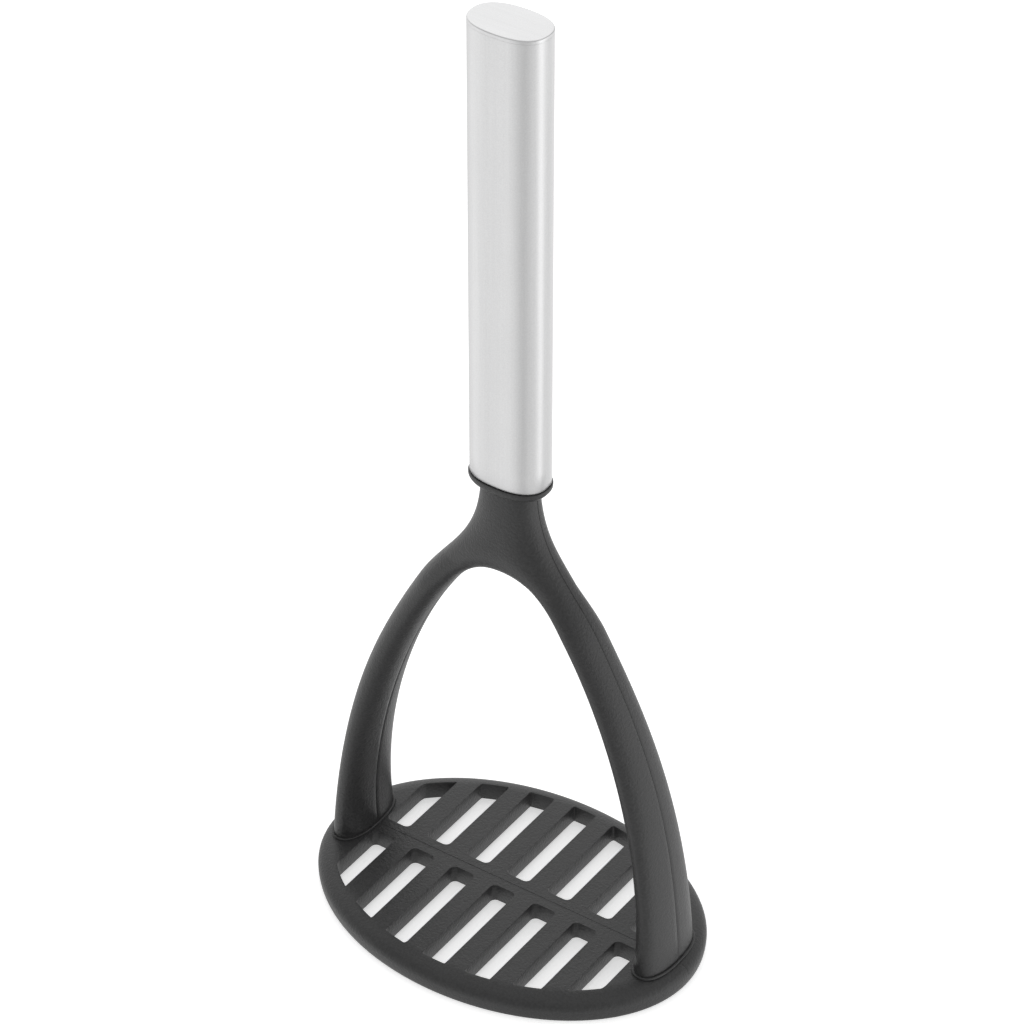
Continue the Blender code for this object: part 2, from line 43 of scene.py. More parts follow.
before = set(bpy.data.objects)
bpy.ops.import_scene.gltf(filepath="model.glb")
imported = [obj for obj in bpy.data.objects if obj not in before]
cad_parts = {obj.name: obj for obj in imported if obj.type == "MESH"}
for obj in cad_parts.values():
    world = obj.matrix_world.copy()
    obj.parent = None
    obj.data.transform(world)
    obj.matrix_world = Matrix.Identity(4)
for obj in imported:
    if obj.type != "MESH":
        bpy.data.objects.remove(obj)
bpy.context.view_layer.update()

MM = 0.001
PLATE_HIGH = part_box("masher_plate")[1]
CARRIER_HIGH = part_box("yoke")[1]
TUBE_LOW, TUBE_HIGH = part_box("handle_tube")
CAP_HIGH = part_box("end_cap")[1]
SEAL_LOW, SEAL_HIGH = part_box("seal_ring")

# Mesh fineness
RIM_SEGMENTS = 288
RIM_STEPS = 10
ARM_ROWS = 150
NECK_ROWS = 54
ACROSS_STEPS = 30
OVAL_SEGMENTS = 192
EDGE_STEPS = 5
CORNER_STEPS = 6
TUBE_ROWS = 24
CURVE_POINTS = 240

# Distances at which points count as one, or as lying on a plane
MERGE = 0.002 * MM
ON_PLANE = 0.001 * MM

# Every closed oval on the handle has this power
OVAL_POWER = 2.4
UPWARD = Vector((0, 0, 1))


# ------------------------------------------------------------------ settings


def length(name, text, default):
    """A distance in metres that the panel shows."""
    return bpy.props.FloatProperty(
        name=name, description=text, default=default, min=0.0, precision=5, subtype="DISTANCE", unit="LENGTH"
    )


def tint(name, text, default):
    """A colour that the panel shows."""
    return bpy.props.FloatVectorProperty(
        name=name, description=text, default=default, size=3, min=0.0, max=1.0, subtype="COLOR"
    )


class PlateSizes(bpy.types.PropertyGroup):
    """Sizes of the slotted plate."""

    rim_round: length("Rim rounding", "Width of the rounding on the rim's upper side", 5.5 * MM)
    rim_under: length("Rim under", "Width of the rounding under the rim", 1.1 * MM)
    rim_foot: length("Rim foot", "Width of the flat ring that the plate stands on", 0.9 * MM)
    grid_bottom: length("Grid bottom", "Height of the grid's underside", 2.0 * MM)
    slot_width: length("Slot width", "Width of one slot", 7.0 * MM)
    slot_pitch: length("Slot pitch", "Distance from one slot to the next", 12.5 * MM)
    slot_corner: length("Slot corner", "Radius of a slot's corners", 1.5 * MM)
    slot_margin: length("Slot margin", "Distance from the rim's edge to the ends of the slots", 4.6 * MM)
    spine_width: length("Spine width", "Width of the solid strip between the two rows", 5.25 * MM)
    edge_break: length("Edge break", "Rounding on the edges of the slots", 0.22 * MM)
    seam_width: length("Seam width", "Width of the parting line along the spine", 0.3 * MM)
    seam_depth: length("Seam depth", "Depth of the parting line along the spine", 0.09 * MM)


class CarrierSizes(bpy.types.PropertyGroup):
    """Sizes of the forked carrier."""

    foot_outer: length("Foot outside", "Distance from the middle to the outside of a foot", 50.9 * MM)
    foot_inner: length("Foot inside", "Distance from the middle to the inside of a foot", 41.7 * MM)
    foot_half_depth: length("Foot half depth", "Half of a foot's depth", 10.9 * MM)
    foot_start: length("Foot start", "Height at which the arms leave the foot lip", 7.65 * MM)
    lip_width: length("Foot lip", "How far the lip stands out round a foot", 0.45 * MM)
    arm_half_depth: length("Arm half depth", "Half of the arm's depth at the shoulder", 7.4 * MM)
    shoulder_x: length("Shoulder distance", "Distance from the middle to the shoulder", 25.65 * MM)
    shoulder_z: length("Shoulder height", "Height of the shoulder", 97.3 * MM)
    arch_top: length("Arch top", "Height of the top of the arch", 108.2 * MM)
    arch_side_x: length("Arch side", "Distance from the middle to the side of the arch", 15.2 * MM)
    arch_side_z: length("Arch side height", "Height of the side of the arch", 99.3 * MM)
    neck_half_width: length("Neck half width", "Half of the neck's width under the collar", 7.6 * MM)
    neck_half_depth: length("Neck half depth", "Half of the neck's depth under the collar", 5.2 * MM)
    neck_top: length("Neck top", "Height at which the collar starts", 133.4 * MM)
    collar_seat: length("Collar seat", "Height of the collar's inner floor", 135.45 * MM)
    collar_top: length("Collar top", "Height of the collar's lip", 136.25 * MM)
    collar_proud: length("Collar proud", "How far the lip stands out round the tube", 0.3 * MM)
    collar_step: length("Collar step", "Small step between the neck and the collar", 0.25 * MM)
    lip_wall: length("Lip wall", "Thickness of the collar's lip", 0.5 * MM)
    seam_width: length("Seam half width", "Half width of the mould's parting line", 0.2 * MM)
    seam_depth: length("Seam depth", "Depth of the mould's parting line", 0.16 * MM)


class HandleSizes(bpy.types.PropertyGroup):
    """Sizes of the oval handle."""

    tube_wall: length("Tube wall", "Thickness of the tube", 0.8 * MM)
    tube_sink: length("Tube sink", "How far the tube settles into the collar's lip", 0.2 * MM)
    cap_edge: length("Cap edge", "Rounding round the end cap", 0.25 * MM)
    cap_skirt: length("Cap skirt", "Depth of the end cap's skirt", 4.0 * MM)
    joint_line: length("Joint line", "Gap between tube and cap", 0.03 * MM)


class FinishColours(bpy.types.PropertyGroup):
    """Colours of the finishes."""

    nylon: tint("Nylon", "Black glass-filled nylon", (0.022, 0.022, 0.0223))
    nylon_pale: tint("Pale nylon", "Paler places in the nylon's grain", (0.0315, 0.0315, 0.0319))
    steel: tint("Steel", "Satin stainless steel", (0.64, 0.64, 0.642))
    steel_shade: tint("Steel shade", "Darker brush lines in the steel", (0.58, 0.58, 0.583))
    rubber: tint("Rubber", "Seal under the tube", (0.012, 0.012, 0.012))
    floor: tint("Floor", "Plain pale floor", (0.90, 0.90, 0.90))


# ------------------------------------------------------------------ shading


class Flow:
    """A socket whose arithmetic adds Math nodes."""

    def __init__(self, recipe, socket):
        self.recipe = recipe
        self.socket = socket

    def math(self, operation, *values):
        return self.recipe.node("ShaderNodeMath", {"operation": operation}, dict(enumerate(values)))

    def __add__(self, other):
        return self.math("ADD", self, other)

    __radd__ = __add__

    def __sub__(self, other):
        return self.math("SUBTRACT", self, other)

    def __rsub__(self, other):
        return self.math("SUBTRACT", other, self)

    def __mul__(self, other):
        return self.math("MULTIPLY", self, other)

    __rmul__ = __mul__


class Recipe:
    """A material or world under construction."""

    def __init__(self, tree):
        self.tree = tree
        tree.nodes.clear()

    def node(self, kind, settings=None, values=None, output=0):
        """Adds a node, sets its settings first and then its sockets, and returns one output."""
        made = self.tree.nodes.new(kind)
        for name, value in (settings or {}).items():
            if name == "stops":
                self.set_stops(made.color_ramp, value)
            else:
                setattr(made, name, value)
        for name, value in (values or {}).items():
            socket = made.inputs[name]
            if isinstance(value, Flow):
                self.tree.links.new(value.socket, socket)
            else:
                socket.default_value = value
        return Flow(self, made.outputs[output]) if made.outputs else made

    @staticmethod
    def set_stops(ramp, stops):
        while len(ramp.elements) < len(stops):
            ramp.elements.new(1.0)
        for element, (place, value) in zip(ramp.elements, stops):
            element.position = place
            element.color = (value, value, value, 1.0)

    def place(self, scale=(1.0, 1.0, 1.0)):
        """Object coordinates, stretched."""
        coordinates = self.node("ShaderNodeTexCoord", output="Object")
        return self.node("ShaderNodeMapping", values={"Vector": coordinates, "Scale": scale})

    def noise(self, vector, scale, detail=3.0, roughness=0.55):
        values = {"Vector": vector, "Scale": scale, "Detail": detail, "Roughness": roughness}
        return self.node("ShaderNodeTexNoise", values=values)

    def ramp(self, value, stops):
        return self.node("ShaderNodeValToRGB", {"stops": stops}, {"Fac": value})

    def colours(self, factor, first, second):
        """A mix of two colours, which are Flows or RGB triples."""
        first, second = [c if isinstance(c, Flow) else (*c, 1.0) for c in (first, second)]
        return self.node("ShaderNodeMix", {"data_type": "RGBA"}, {0: factor, 6: first, 7: second}, 2)

    def bump(self, height, strength, distance):
        values = {"Height": height, "Strength": strength, "Distance": distance}
        return self.node("ShaderNodeBump", values=values)

    def surface(self, values):
        shader = self.node("ShaderNodeBsdfPrincipled", values=values)
        self.node("ShaderNodeOutputMaterial", values={"Surface": shader})


# Patterns per metre: a higher scale makes a finer pattern
GRAIN_SCALE = 1500.0
NYLON_SPECKLE_SCALE = 3600.0
PATCH_SCALE = 55.0
FLOW_STRETCH = (60.0, 60.0, 14.0)
CLOUD_SCALE = 70.0
STEEL_SPECKLE_SCALE = 3400.0
TUBE_BRUSHING = (2600.0, 2600.0, 45.0)
CAP_BRUSHING = (60.0, 2600.0, 2600.0)
BAR_MILLING = (1500.0, 1500.0, 60.0)
PIN_DRAWING = (1800.0, 60.0, 1800.0)

# Heights of the fine patterns, and the steel's mean roughness
PLATE_GRAIN = 0.22 * MM
CARRIER_GRAIN = 0.2 * MM
BRUSH_DEPTH = 0.006 * MM
SATIN = 0.33


def new_recipe(name):
    """An empty material and the recipe that fills it."""
    material = bpy.data.materials.new(name)
    material.use_nodes = True
    return material, Recipe(material.node_tree)


def nylon_finish(name, grain_height, roughness):
    """Black moulded nylon with a fine spark-eroded grain."""
    colours = bpy.context.scene.masher_colours
    material, mix = new_recipe(name)
    where = mix.place()
    grain = mix.noise(where, GRAIN_SCALE, 2.0)
    speckle = mix.noise(where, NYLON_SPECKLE_SCALE, 1.0)
    patches = mix.noise(where, PATCH_SCALE, 3.0)
    flow = mix.noise(mix.place(FLOW_STRETCH), 1.0, 3.0)
    tone = mix.ramp(grain * 0.6 + patches * 0.25 + flow * 0.15, ((0.40, 0.0), (0.60, 1.0)))
    normal = mix.bump(grain * 0.7 + speckle * 0.3, 1.0, grain_height)
    mix.surface(
        {
            "Base Color": mix.colours(tone, tuple(colours.nylon), tuple(colours.nylon_pale)),
            "Roughness": roughness + (grain - 0.5) * 0.16 + (patches - 0.5) * 0.14,
            "Normal": normal,
            "IOR": 1.46,
            "Specular IOR Level": 0.5,
        }
    )
    return material


def brushed_steel(name, along, roughness, line_height):
    """Satin steel, brushed along one direction; along is the stretch of the brush lines."""
    colours = bpy.context.scene.masher_colours
    material, mix = new_recipe(name)
    lines = mix.noise(mix.place(along), 1.0, 4.0, 0.65)
    long_lines = mix.noise(mix.place(tuple(0.35 * part for part in along)), 1.0, 2.0)
    cloud = mix.noise(mix.place(), CLOUD_SCALE, 3.0)
    speckle = mix.noise(mix.place(), STEEL_SPECKLE_SCALE, 1.0)
    tone = mix.ramp(lines * 0.3 + long_lines * 0.2 + speckle * 0.5, ((0.36, 0.0), (0.62, 1.0)))
    normal = mix.bump(lines * 0.4 + long_lines * 0.15 + speckle * 0.45, 1.0, line_height)
    mix.surface(
        {
            "Base Color": mix.colours(tone, tuple(colours.steel_shade), tuple(colours.steel)),
            "Metallic": 1.0,
            "Roughness": roughness + (lines - 0.5) * 0.12 + (cloud - 0.5) * 0.08,
            "Normal": normal,
        }
    )
    return material


def rubber_finish(name):
    """Matt black rubber."""
    colours = bpy.context.scene.masher_colours
    material, mix = new_recipe(name)
    dust = mix.noise(mix.place(), 900.0, 3.0)
    pale = tuple(2.0 * part for part in colours.rubber)
    mix.surface(
        {
            "Base Color": mix.colours(dust, tuple(colours.rubber), pale),
            "Roughness": 0.62 + dust * 0.3,
            "Normal": mix.bump(dust, 0.8, 0.04 * MM),
        }
    )
    return material


def milled_steel(name, scale):
    """Plain bar steel with short mill marks and a little oxide."""
    material, mix = new_recipe(name)
    marks = mix.noise(mix.place(scale), 1.0, 4.0, 0.7)
    oxide = mix.noise(mix.place(), 160.0, 4.0)
    clean, dull = (0.52, 0.52, 0.53), (0.33, 0.32, 0.31)
    mix.surface(
        {
            "Base Color": mix.colours(mix.ramp(oxide, ((0.45, 0.0), (0.7, 1.0))), clean, dull),
            "Metallic": 1.0,
            "Roughness": 0.34 + marks * 0.2,
            "Normal": mix.bump(marks, 0.7, 0.02 * MM),
        }
    )
    return material


def core_finish(name):
    """Dark recycled plastic with moulding swirls."""
    material, mix = new_recipe(name)
    swirl = mix.noise(mix.place((1.0, 1.0, 0.3)), 130.0, 5.0)
    grain = mix.noise(mix.place(), 2200.0, 2.0)
    mix.surface(
        {
            "Base Color": mix.colours(swirl, (0.05, 0.05, 0.055), (0.10, 0.10, 0.105)),
            "Roughness": 0.5 + grain * 0.2,
            "Normal": mix.bump(grain, 0.8, 0.03 * MM),
        }
    )
    return material


# ------------------------------------------------------------------ mesh helpers


def finish_piece(work, name, material, sharp_degrees=38.0, flat_normal=None):
    """Turns a bmesh into a smooth-shaded object with its sharp edges kept."""
    bmesh.ops.recalc_face_normals(work, faces=work.faces)
    limit = math.radians(sharp_degrees)
    for face in work.faces:
        face.smooth = not (flat_normal and abs(face.normal.dot(flat_normal)) > 0.99999)
    for edge in work.edges:
        edge.smooth = len(edge.link_faces) == 2 and edge.calc_face_angle(0.0) < limit
    mesh = bpy.data.meshes.new(name)
    work.to_mesh(mesh)
    work.free()
    mesh.materials.append(material)
    piece = bpy.data.objects.new(name, mesh)
    bpy.context.scene.collection.objects.link(piece)
    return piece


def everything(work):
    """All of a bmesh's parts, for operators that take a mixed list."""
    return work.verts[:] + work.edges[:] + work.faces[:]


def moved_verts(extruded):
    """The new vertices among an extrusion's results."""
    return [part for part in extruded["geom"] if isinstance(part, bmesh.types.BMVert)]


def moved_edges(extruded):
    """The new edges among an extrusion's results."""
    return [part for part in extruded["geom"] if isinstance(part, bmesh.types.BMEdge)]


def oval_point(turn, half_x, half_y):
    """A point on the handle's oval, whose sides are flatter than an ellipse's."""
    c, s = math.cos(turn), math.sin(turn)
    x = half_x * math.copysign(abs(c) ** (2 / OVAL_POWER), c)
    y = half_y * math.copysign(abs(s) ** (2 / OVAL_POWER), s)
    return x, y


class OvalWall:
    """A wall grown ring by ring, each ring an oval with its own size and height."""

    def __init__(self, work, half_x, half_y, z):
        self.work = work
        made = bmesh.ops.create_circle(work, segments=OVAL_SEGMENTS, radius=1.0, cap_ends=False)
        self.turns = {vert: math.atan2(vert.co.y, vert.co.x) for vert in made["verts"]}
        self.edges = list(dict.fromkeys(edge for vert in made["verts"] for edge in vert.link_edges))
        self.shape(half_x, half_y, z)
        self.first = self.edges

    def shape(self, half_x, half_y, z):
        for vert, turn in self.turns.items():
            vert.co = (*oval_point(turn, half_x, half_y), z)

    def grow(self, half_x, half_y, z):
        by_place = {tuple(vert.co): turn for vert, turn in self.turns.items()}
        extruded = bmesh.ops.extrude_edge_only(self.work, edges=self.edges)
        self.turns = {vert: by_place[tuple(vert.co)] for vert in moved_verts(extruded)}
        self.edges = moved_edges(extruded)
        self.shape(half_x, half_y, z)

    def fill(self):
        """Closes the last ring and the first with a face each."""
        for edges in (self.edges, self.first):
            bmesh.ops.edgeloop_fill(self.work, edges=edges)

    def close(self):
        """Joins the last ring to the first."""
        bmesh.ops.bridge_loops(self.work, edges=self.first + self.edges)


def bezier(points, steps):
    """Points on a cubic curve, both ends included."""
    t = np.linspace(0.0, 1.0, steps)[:, None]
    a, b, c, d = (np.array(point, float) for point in points)
    return (1 - t) ** 3 * a + 3 * (1 - t) ** 2 * t * b + 3 * (1 - t) * t**2 * c + t**3 * d


def spread(curve, count):
    """The curve resampled at even distances along it."""
    run = np.concatenate([[0.0], np.cumsum(np.hypot(*np.diff(curve, axis=0).T))])
    wanted = run[-1] * np.linspace(0.0, 1.0, count)
    return np.column_stack([np.interp(wanted, run, curve[:, k]) for k in (0, 1)])


# ------------------------------------------------------------------ plate

# The rim grows up and down from a thin band at half its height
RIM_BAND = 0.02 * MM

# Corners and edges of the slots that turn by more than this are rounded
SHARP_CORNER = math.radians(30)
SHARP_EDGE = math.radians(50)


def slot_cutter(sizes, half_x, half_y):
    """All slots as one closed shape, taller than the plate."""
    work = bmesh.new()
    reach_x, reach_y = half_x - sizes.slot_margin, half_y - sizes.slot_margin
    count = int((reach_x - 0.5 * sizes.slot_width) / sizes.slot_pitch)
    for step in range(-count, count + 1):
        centre = step * sizes.slot_pitch
        for side in (-1, 1):
            one = bmesh.new()
            bmesh.ops.create_circle(one, segments=RIM_SEGMENTS, radius=1.0, cap_ends=True)
            bmesh.ops.scale(one, vec=(reach_x, reach_y, 1.0), verts=one.verts)
            planes = (
                ((centre - sizes.slot_width / 2, 0, 0), (-1, 0, 0)),
                ((centre + sizes.slot_width / 2, 0, 0), (1, 0, 0)),
                ((0, side * sizes.spine_width / 2, 0), (0, -side, 0)),
            )
            for point, normal in planes:
                bmesh.ops.bisect_plane(
                    one, geom=everything(one), plane_co=point, plane_no=normal, clear_outer=True
                )
            corners = [vert for vert in one.verts if corner_angle(vert) > SHARP_CORNER]
            bmesh.ops.bevel(
                one, geom=corners, offset=sizes.slot_corner, offset_type="OFFSET", segments=CORNER_STEPS,
                profile=0.5, affect="VERTICES", material=-1,
            )
            bmesh.ops.dissolve_degenerate(one, dist=0.01 * MM, edges=one.edges)
            bmesh.ops.translate(one, vec=(0, 0, -0.5 * half_y), verts=one.verts)
            bmesh.ops.recalc_face_normals(one, faces=one.faces)
            raised = bmesh.ops.extrude_face_region(one, geom=one.faces[:])
            bmesh.ops.translate(one, vec=(0, 0, half_y), verts=moved_verts(raised))
            bmesh.ops.recalc_face_normals(one, faces=one.faces)
            kept = bpy.data.meshes.new("slot")
            one.to_mesh(kept)
            one.free()
            work.from_mesh(kept)
            bpy.data.meshes.remove(kept)
    return work


def corner_angle(vert):
    """How far the outline turns at a corner."""
    first, second = [(edge.other_vert(vert).co - vert.co).normalized() for edge in vert.link_edges[:2]]
    return math.pi - first.angle(second)


def cut_away(work, cutter):
    """Cuts one bmesh out of another and returns the rest."""
    objects = []
    for name, shape in (("plate_blank", work), ("slot_tool", cutter)):
        mesh = bpy.data.meshes.new(name)
        shape.to_mesh(mesh)
        shape.free()
        objects.append(bpy.data.objects.new(name, mesh))
        bpy.context.scene.collection.objects.link(objects[-1])
    blank, tool = objects
    boolean = blank.modifiers.new("slots", "BOOLEAN")
    boolean.operation, boolean.solver, boolean.object = "DIFFERENCE", "EXACT", tool
    graph = bpy.context.evaluated_depsgraph_get()
    rest = bpy.data.meshes.new_from_object(blank.evaluated_get(graph))
    result = bmesh.new()
    result.from_mesh(rest)
    for mesh in (blank.data, tool.data, rest):
        bpy.data.meshes.remove(mesh, do_unlink=True)
    return result


def make_plate():
    """The slotted plate with its thick rounded rim."""
    sizes = bpy.context.scene.masher_plate
    half_x, half_y = PLATE_HIGH.x, PLATE_HIGH.y
    top = PLATE_HIGH.z
    middle = top / 2
    work = bmesh.new()
    bmesh.ops.create_circle(work, segments=RIM_SEGMENTS, radius=1.0, cap_ends=True)
    bmesh.ops.scale(work, vec=(half_x, half_y, 1.0), verts=work.verts)
    bmesh.ops.translate(work, vec=(0, 0, middle), verts=work.verts)
    raised = bmesh.ops.extrude_face_region(work, geom=work.faces[:])
    bmesh.ops.translate(work, vec=(0, 0, RIM_BAND), verts=moved_verts(raised))
    bmesh.ops.recalc_face_normals(work, faces=work.faces)
    caps = [face for face in work.faces if len(face.verts) > 4]
    caps.sort(key=lambda face: face.calc_center_median().z)
    quarter = [step / RIM_STEPS * math.pi / 2 for step in range(RIM_STEPS + 1)]
    for cap, width in zip(caps, (sizes.rim_under, sizes.rim_round)):
        for before, after in zip(quarter, quarter[1:]):
            inset = width * (math.cos(before) - math.cos(after))
            rise = middle * (math.sin(after) - math.sin(before))
            bmesh.ops.inset_individual(work, faces=[cap], thickness=inset, depth=rise, use_even_offset=True)
    under = caps[0]
    bmesh.ops.inset_individual(work, faces=[under], thickness=sizes.rim_foot, depth=0.0, use_even_offset=True)
    slope = sizes.slot_margin - sizes.rim_under - sizes.rim_foot
    bmesh.ops.inset_individual(
        work, faces=[under], thickness=slope, depth=-sizes.grid_bottom, use_even_offset=True
    )
    press_seam(work, sizes, middle)
    result = cut_away(work, slot_cutter(sizes, half_x, half_y))
    soften_slots(result, sizes)
    material = nylon_finish("plate_nylon_grain", PLATE_GRAIN, 0.45)
    piece = finish_piece(result, "plate_body", material, flat_normal=UPWARD)
    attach(piece, "root")
    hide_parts("masher_plate")


def press_seam(work, sizes, low):
    """The fine parting line along the spine and over the rim."""
    for side in (-0.5, 0.0, 0.5):
        place = (0, side * sizes.seam_width, 0)
        bmesh.ops.bisect_plane(work, geom=everything(work), plane_co=place, plane_no=(0, 1, 0))
    work.normal_update()
    line = [vert for vert in work.verts if abs(vert.co.y) < ON_PLANE and vert.co.z > low + 0.1 * MM]
    moves = {vert: -sizes.seam_depth * vert.normal for vert in line}
    for vert, move in moves.items():
        vert.co += move


def soften_slots(work, sizes):
    """Takes the sharpness off the edges round every slot."""
    reach_x, reach_y = PLATE_HIGH.x - sizes.slot_margin, PLATE_HIGH.y - sizes.slot_margin
    edges = []
    for edge in work.edges:
        ends = [vert.co for vert in edge.verts]
        inside = all((p.x / reach_x) ** 2 + (p.y / reach_y) ** 2 < 1.001 for p in ends)
        level = abs(ends[0].z - ends[1].z) < ON_PLANE
        on_seam = all(abs(p.y) < sizes.seam_width for p in ends)
        if inside and level and not on_seam and edge.calc_face_angle(0.0) > SHARP_EDGE:
            edges.append(edge)
    bmesh.ops.bevel(
        work, geom=edges, offset=sizes.edge_break, offset_type="OFFSET", segments=2,
        profile=0.5, affect="EDGES", clamp_overlap=True, material=-1,
    )


# ------------------------------------------------------------------ carrier

# How fast an arm's depth tapers, and how square its section is
ARM_TAPER_POWER = 1.66
ARM_SECTION_POWER = 2.3

# Handles of the curves along an arm's outside, the flare, an arm's inside and the arch
OUTER_FOOT_LEAN = 2.5 * MM
OUTER_FOOT_SHARE = 0.46
OUTER_SHOULDER_RUN = 15.85 * MM
OUTER_SHOULDER_DROP = 28.2 * MM
FLARE_RUN = 6.3 * MM
FLARE_RISE = 11.2 * MM
FLARE_NECK_RUN = 0.7 * MM
FLARE_NECK_SHARE = 0.495
INNER_FOOT_LEAN = 2.55 * MM
INNER_FOOT_RISE = 24.3 * MM
INNER_SHOULDER_RUN = 18.3 * MM
INNER_SHOULDER_DROP = 25.8 * MM
ARCH_BEND_RUN = 3.95 * MM
ARCH_BEND_RISE = 5.57 * MM
ARCH_CROWN_SHARE = 0.445

# Share of the neck's rows over which the two arms' roundings run together
BLEND_SHARE = 0.7

# Roundings and clearances of the feet and the collar
FOOT_CLEARANCE = 0.02 * MM
LIP_ROUND = 0.1 * MM
SPIGOT_INSET = 1.4 * MM
SEAM_END = 0.4 * MM


def outer_edge(sizes, steps):
    """Outside of one arm up to the shoulder, and the flare from there to the neck."""
    rise = sizes.shoulder_z - sizes.foot_start
    flare_rise = sizes.neck_top - sizes.shoulder_z
    arm = bezier(
        [
            (sizes.foot_outer, sizes.foot_start),
            (sizes.foot_outer - OUTER_FOOT_LEAN, sizes.foot_start + OUTER_FOOT_SHARE * rise),
            (sizes.shoulder_x + OUTER_SHOULDER_RUN, sizes.shoulder_z - OUTER_SHOULDER_DROP),
            (sizes.shoulder_x, sizes.shoulder_z),
        ],
        steps,
    )
    flare = bezier(
        [
            (sizes.shoulder_x, sizes.shoulder_z),
            (sizes.shoulder_x - FLARE_RUN, sizes.shoulder_z + FLARE_RISE),
            (sizes.neck_half_width + FLARE_NECK_RUN, sizes.shoulder_z + FLARE_NECK_SHARE * flare_rise),
            (sizes.neck_half_width, sizes.neck_top),
        ],
        steps,
    )
    return arm, flare


def inner_edge(sizes, steps):
    """Inside of one arm, from the foot up to the top of the arch."""
    arm = bezier(
        [
            (sizes.foot_inner, sizes.foot_start),
            (sizes.foot_inner + INNER_FOOT_LEAN, sizes.foot_start + INNER_FOOT_RISE),
            (sizes.arch_side_x + INNER_SHOULDER_RUN, sizes.arch_side_z - INNER_SHOULDER_DROP),
            (sizes.arch_side_x, sizes.arch_side_z),
        ],
        steps,
    )
    arch = bezier(
        [
            (sizes.arch_side_x, sizes.arch_side_z),
            (sizes.arch_side_x - ARCH_BEND_RUN, sizes.arch_side_z + ARCH_BEND_RISE),
            (ARCH_CROWN_SHARE * sizes.arch_side_x, sizes.arch_top),
            (0.0, sizes.arch_top),
        ],
        steps,
    )
    return np.vstack([arm, arch[1:]])


def half_depth(sizes, z):
    """Half of the carrier's depth at a height."""
    share = np.clip((z - sizes.foot_start) / (sizes.shoulder_z - sizes.foot_start), 0.0, 1.0)
    spread_out = (sizes.foot_half_depth - sizes.arm_half_depth) * (1 - share) ** ARM_TAPER_POWER
    arm = sizes.arm_half_depth + spread_out
    rise = np.clip((z - sizes.shoulder_z) / (sizes.neck_top - sizes.shoulder_z), 0.0, 1.0)
    return arm + (sizes.neck_half_depth - sizes.arm_half_depth) * rise


def distance_to(curve, points):
    """Distance from each point to a curve given as points."""
    start, step = curve[:-1], np.diff(curve, axis=0)
    along = ((points[:, None] - start) * step).sum(-1) / (step**2).sum(-1)
    nearest = start + np.clip(along, 0, 1)[..., None] * step
    return np.sqrt(((points[:, None] - nearest) ** 2).sum(-1)).min(1)


def rounding(distance, radius):
    """Height of a rounded section, 0 at its edge and 1 from the radius on."""
    share = 1 - np.clip(distance / radius, 0.0, 1.0)
    return (1 - share**ARM_SECTION_POWER) ** (1 / ARM_SECTION_POWER)


def across_shares(steps):
    """Positions across an arm, closer together near both edges."""
    turn = -np.cos(np.pi * np.arange(steps + 1) / steps)
    return (1 + np.sign(turn) * np.abs(turn) ** (2 / ARM_SECTION_POWER)) / 2


def carrier_sheet(sizes):
    """Front of the right half of the carrier: a grid of (x, depth, z)."""
    arm, flare = outer_edge(sizes, CURVE_POINTS)
    inner = inner_edge(sizes, CURVE_POINTS)
    outer = np.vstack([arm, flare[1:]])
    split = len(arm) + CURVE_POINTS // 3
    outer_low = spread(outer[:split], ARM_ROWS + 1)
    outer_high = spread(outer[split - 1 :], NECK_ROWS + 1)
    inner_low = spread(inner, ARM_ROWS + 1)
    heights = np.linspace(sizes.arch_top, sizes.neck_top, NECK_ROWS + 1)
    middle = np.column_stack([np.zeros(NECK_ROWS + 1), heights])
    inside = np.vstack([inner_low, middle[1:]])
    outside = np.vstack([outer_low, outer_high[1:]])
    width = np.hypot(*(outside - inside).T)
    row = np.arange(len(width))
    shares = across_shares(ACROSS_STEPS)
    rise = np.clip((row - ARM_ROWS) / (NECK_ROWS * BLEND_SHARE), 0, 1)
    rise = rise**2 * (3 - 2 * rise)
    outer_radius = width * (0.5 + 0.5 * rise)
    inner_radius = np.where(row < ARM_ROWS, width / 2, width[ARM_ROWS] / 2)
    sheet = np.zeros((len(width), ACROSS_STEPS + 1, 3))
    for i in row:
        points = inside[i] + shares[:, None] * (outside[i] - inside[i])
        depth = half_depth(sizes, points[:, 1])
        depth = depth * rounding(distance_to(outer, points), outer_radius[i])
        depth = depth * rounding(distance_to(inner, points), inner_radius[i])
        depth[-1] = 0.0
        if i <= ARM_ROWS:
            depth[0] = 0.0
        sheet[i] = np.column_stack([points[:, 0], depth, points[:, 1]])
    sheet[ARM_ROWS:, 0, 0] = 0.0
    return sheet


